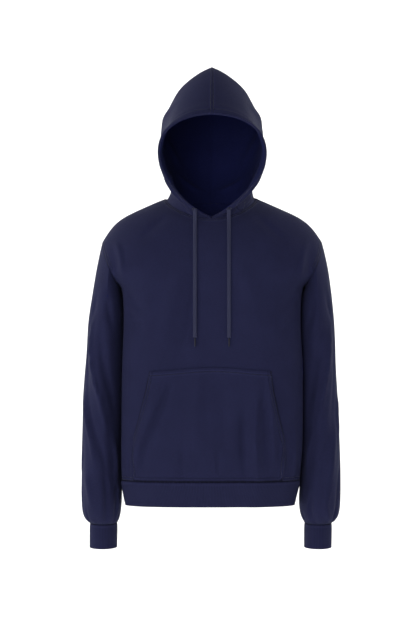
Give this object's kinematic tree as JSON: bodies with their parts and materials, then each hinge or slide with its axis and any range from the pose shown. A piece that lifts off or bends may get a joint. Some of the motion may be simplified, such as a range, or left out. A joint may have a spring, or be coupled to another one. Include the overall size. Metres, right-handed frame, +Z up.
{
  "type": "pullover hoodie",
  "caption": "Dark blue fleece pullover with its hood up, a front pouch pocket, ribbed cuffs and hem, and two hanging drawcord ends, filled out as worn.",
  "frame": {"origin": "middle of the shoulder line at the base of the neck, where the wearer's shoulders and neck carry the garment", "axes": "+Z up towards the crown of the hood, -Y out of the chest, +X to the wearer's left"},
  "size_m": [0.5688, 0.2832, 1.058],
  "materials": {
    "fleece": "matt knitted face, dark navy",
    "rib": "matt rib knit, dark navy",
    "cord": "matt flat braid, navy",
    "cord_tip": "bound and sealed end, dark navy"
  },
  "bodies": {
    "root": {"front": "fleece", "back": "fleece", "pocket": "fleece", "sleeve_left": "fleece", "sleeve_right": "fleece", "hood_left": "fleece", "hood_right": "fleece", "hem_rib": "rib", "cuff_left": "rib", "cuff_right": "rib", "drawcord_left": "cord", "drawcord_right": "cord", "cord_tip_left": "cord_tip", "cord_tip_right": "cord_tip"}
  },
  "joints": []
}
